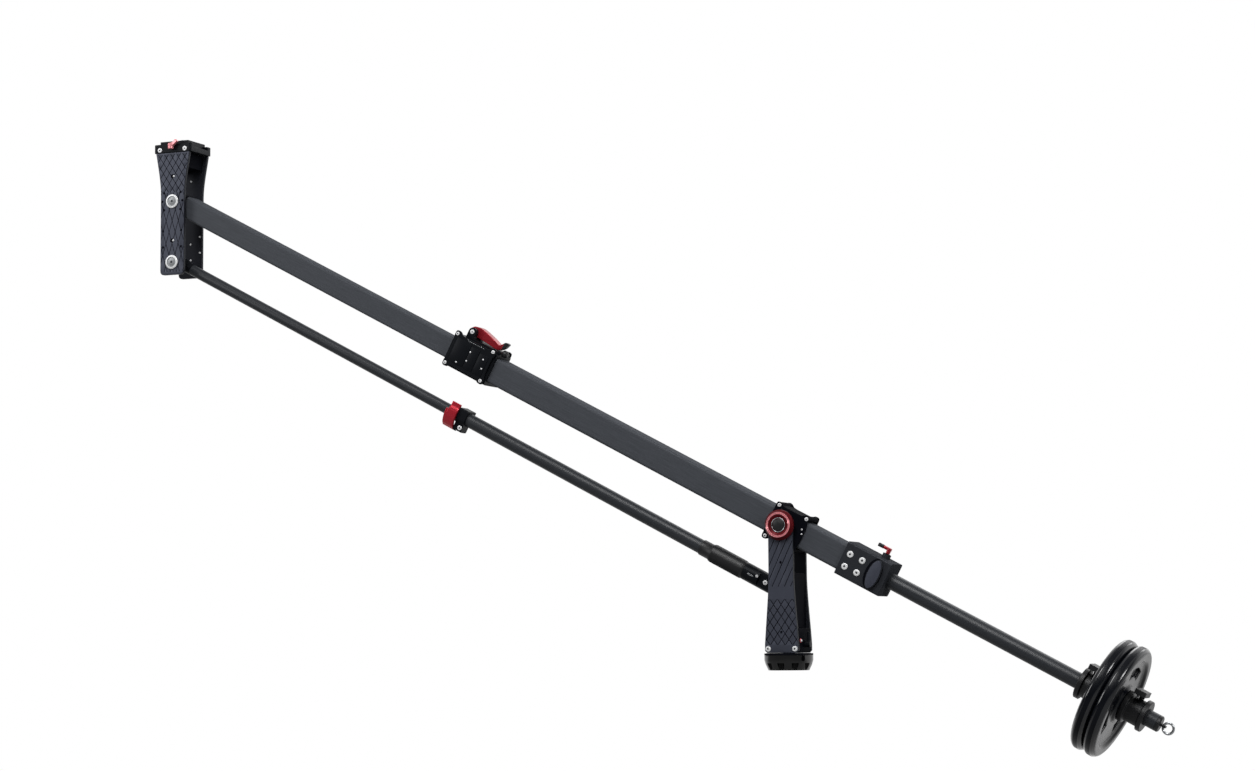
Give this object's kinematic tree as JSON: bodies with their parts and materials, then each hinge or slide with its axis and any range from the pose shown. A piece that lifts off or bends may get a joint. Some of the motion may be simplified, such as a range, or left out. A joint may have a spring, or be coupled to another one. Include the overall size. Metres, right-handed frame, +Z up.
{
  "type": "camera jib crane",
  "caption": "Telescopic parallelogram boom on a panning column: a levelling head with a camera platform in front, disc counterweights on a sliding bar behind.",
  "frame": {"origin": "centre of the base's underside, at the mouth of the tripod socket", "axes": "+Z up; the boom lies in the XZ plane with the camera head towards -X and the counterweights towards +X; the tilt knob is on the -Y side"},
  "size_m": [1.5614, 0.16, 0.9366],
  "materials": {
    "black_anodised": "black anodised, fine blasted grain",
    "black_cast": "gloss black coating on a casting",
    "carbon_tube": "satin carbon fibre laminate",
    "red_anodised": "bright red anodised",
    "bright_steel": "plain turned steel",
    "black_plastic": "moulded, satin",
    "enamelled_iron": "black enamel",
    "brass": "turned"
  },
  "bodies": {
    "base": {"base_puck": "black_cast", "tripod_bush": "brass", "pan_spindle": "bright_steel"},
    "column": {"pan_washer": "brass", "column_foot": "black_cast", "column_plate_near": "black_anodised", "column_plate_far": "black_anodised", "column_web": "black_anodised", "tilt_axle": "bright_steel", "link_axle_rear": "bright_steel"},
    "pan_lever": {"pan_lock_lever": "red_anodised"},
    "knob": {"tilt_knob": "red_anodised", "tilt_knob_cap": "black_plastic"},
    "boom": {"outer_tube": "carbon_tube", "collar_saddle_top": "black_anodised", "collar_saddle_bottom": "black_anodised", "collar_cheek_near": "black_anodised", "collar_cheek_far": "black_anodised", "tilt_washer_near": "brass", "tilt_washer_far": "brass", "lock_housing": "black_anodised", "lock_cover_near": "black_anodised", "lock_cover_far": "black_anodised", "lock_lever_pin": "bright_steel", "rear_clamp_block": "black_anodised"},
    "boom_lock_lever": {"lock_lever": "red_anodised"},
    "boom_lock_knob": {"lock_knob": "black_plastic"},
    "bar_lever": {"bar_lock_lever": "red_anodised"},
    "inner_boom": {"inner_tube": "carbon_tube", "boom_tip": "black_anodised"},
    "head": {"head_plate_near": "black_anodised", "head_plate_far": "black_anodised", "bearing_cap_upper_near": "bright_steel", "bearing_cap_lower_near": "bright_steel", "bearing_cap_upper_far": "bright_steel", "bearing_cap_lower_far": "bright_steel", "head_axle_upper": "bright_steel", "head_axle_lower": "bright_steel", "head_block": "black_anodised", "camera_platform": "black_cast"},
    "quick_plate": {"camera_plate": "black_anodised"},
    "quick_screw": {"camera_screw": "bright_steel"},
    "quick_lever": {"plate_lever": "red_anodised"},
    "counterweight_bar": {"weight_bar": "carbon_tube", "bar_end_cap": "black_plastic", "bar_end_ring": "bright_steel"},
    "weights": {"collar_inner": "black_plastic", "weight_inner": "enamelled_iron", "weight_outer": "enamelled_iron", "collar_outer": "black_plastic"},
    "inner_collar_lever": {"collar_lever_inner": "black_plastic"},
    "outer_collar_lever": {"collar_lever_outer": "black_plastic"},
    "rear_link": {"rear_link_tube": "carbon_tube", "link_yoke": "black_anodised", "link_clamp": "black_anodised"},
    "adjuster": {"link_adjuster": "black_plastic"},
    "link_lever": {"link_clamp_lever": "red_anodised"},
    "front_link": {"front_link_tube": "carbon_tube", "front_link_eye": "black_anodised"}
  },
  "joints": [
    {"name": "pan", "type": "hinge", "parent": "base", "child": "column", "pos_m": [0, 0, 0], "axis": [0, 0, 1], "continuous": true},
    {"name": "pan_lock_turn", "type": "hinge", "parent": "column", "child": "pan_lever", "pos_m": [0.0281, 0, 0.036], "axis": [1, 0, 0], "range_deg": [-90, 90]},
    {"name": "tilt_knob_turn", "type": "hinge", "parent": "column", "child": "knob", "pos_m": [0, -0.033, 0.2], "axis": [0, -1, 0], "continuous": true},
    {"name": "boom_tilt", "type": "hinge", "parent": "column", "child": "boom", "pos_m": [0, 0, 0.2], "axis": [0, 1, 0], "range_deg": [-72, 22]},
    {"name": "boom_extend", "type": "slide", "parent": "boom", "child": "inner_boom", "axis": [-0.885, 0, 0.4656], "range_m": [-0.35, 0]},
    {"name": "head_level", "type": "hinge", "parent": "inner_boom", "child": "head", "pos_m": [-0.99251, 0, 0.72219], "axis": [0, 1, 0], "range_deg": [-22, 72]},
    {"name": "link_tilt", "type": "hinge", "parent": "column", "child": "rear_link", "pos_m": [0, 0, 0.1055], "axis": [0, 1, 0], "range_deg": [-72, 22]},
    {"name": "link_extend", "type": "slide", "parent": "rear_link", "child": "front_link", "axis": [-0.885, 0, 0.4656], "range_m": [-0.35, 0]},
    {"name": "adjuster_turn", "type": "hinge", "parent": "rear_link", "child": "adjuster", "pos_m": [0, 0, 0.1055], "axis": [0.885, 0, -0.4656], "continuous": true},
    {"name": "link_clamp_open", "type": "hinge", "parent": "rear_link", "child": "link_lever", "pos_m": [-0.52591, -0.0033, 0.35802], "axis": [0.885, 0, -0.4656], "range_deg": [0, 100]},
    {"name": "lock_lever_open", "type": "hinge", "parent": "boom", "child": "boom_lock_lever", "pos_m": [-0.4817, 0, 0.49468], "axis": [0, -1, 0], "range_deg": [0, 100]},
    {"name": "lock_knob_turn", "type": "hinge", "parent": "boom", "child": "boom_lock_knob", "pos_m": [-0.4305, -0.012, 0.45926], "axis": [0.885, 0, -0.4656], "continuous": true},
    {"name": "bar_lock_turn", "type": "hinge", "parent": "boom", "child": "bar_lever", "pos_m": [0.14567, 0, 0.15794], "axis": [0.4656, 0, 0.885], "range_deg": [-90, 90]},
    {"name": "bar_slide", "type": "slide", "parent": "boom", "child": "counterweight_bar", "axis": [0.885, 0, -0.4656], "range_m": [-0.06, 0]},
    {"name": "weights_slide", "type": "slide", "parent": "counterweight_bar", "child": "weights", "axis": [0.885, 0, -0.4656], "range_m": [-0.12, 0.012]},
    {"name": "inner_collar_turn", "type": "hinge", "parent": "weights", "child": "inner_collar_lever", "pos_m": [0.4331, 0, -0.00492], "axis": [-0.4656, 0, -0.885], "range_deg": [0, 90]},
    {"name": "outer_collar_turn", "type": "hinge", "parent": "weights", "child": "outer_collar_lever", "pos_m": [0.49363, 0, -0.03677], "axis": [0.4656, 0, 0.885], "range_deg": [0, 90]},
    {"name": "plate_slide", "type": "slide", "parent": "head", "child": "quick_plate", "axis": [1, 0, 0], "range_m": [-0.02, 0.02]},
    {"name": "camera_screw_turn", "type": "hinge", "parent": "quick_plate", "child": "quick_screw", "pos_m": [-0.99251, 0, 0.81], "axis": [0, 0, 1], "continuous": true},
    {"name": "plate_lever_open", "type": "hinge", "parent": "head", "child": "quick_lever", "pos_m": [-0.99251, -0.034, 0.80749], "axis": [0, 0, -1], "range_deg": [0, 90]}
  ],
  "couplings": [
    {"joint": "head_level", "follows": "boom_tilt", "ratio": -1},
    {"joint": "link_tilt", "follows": "boom_tilt", "ratio": 1},
    {"joint": "link_extend", "follows": "boom_extend", "ratio": 1}
  ]
}
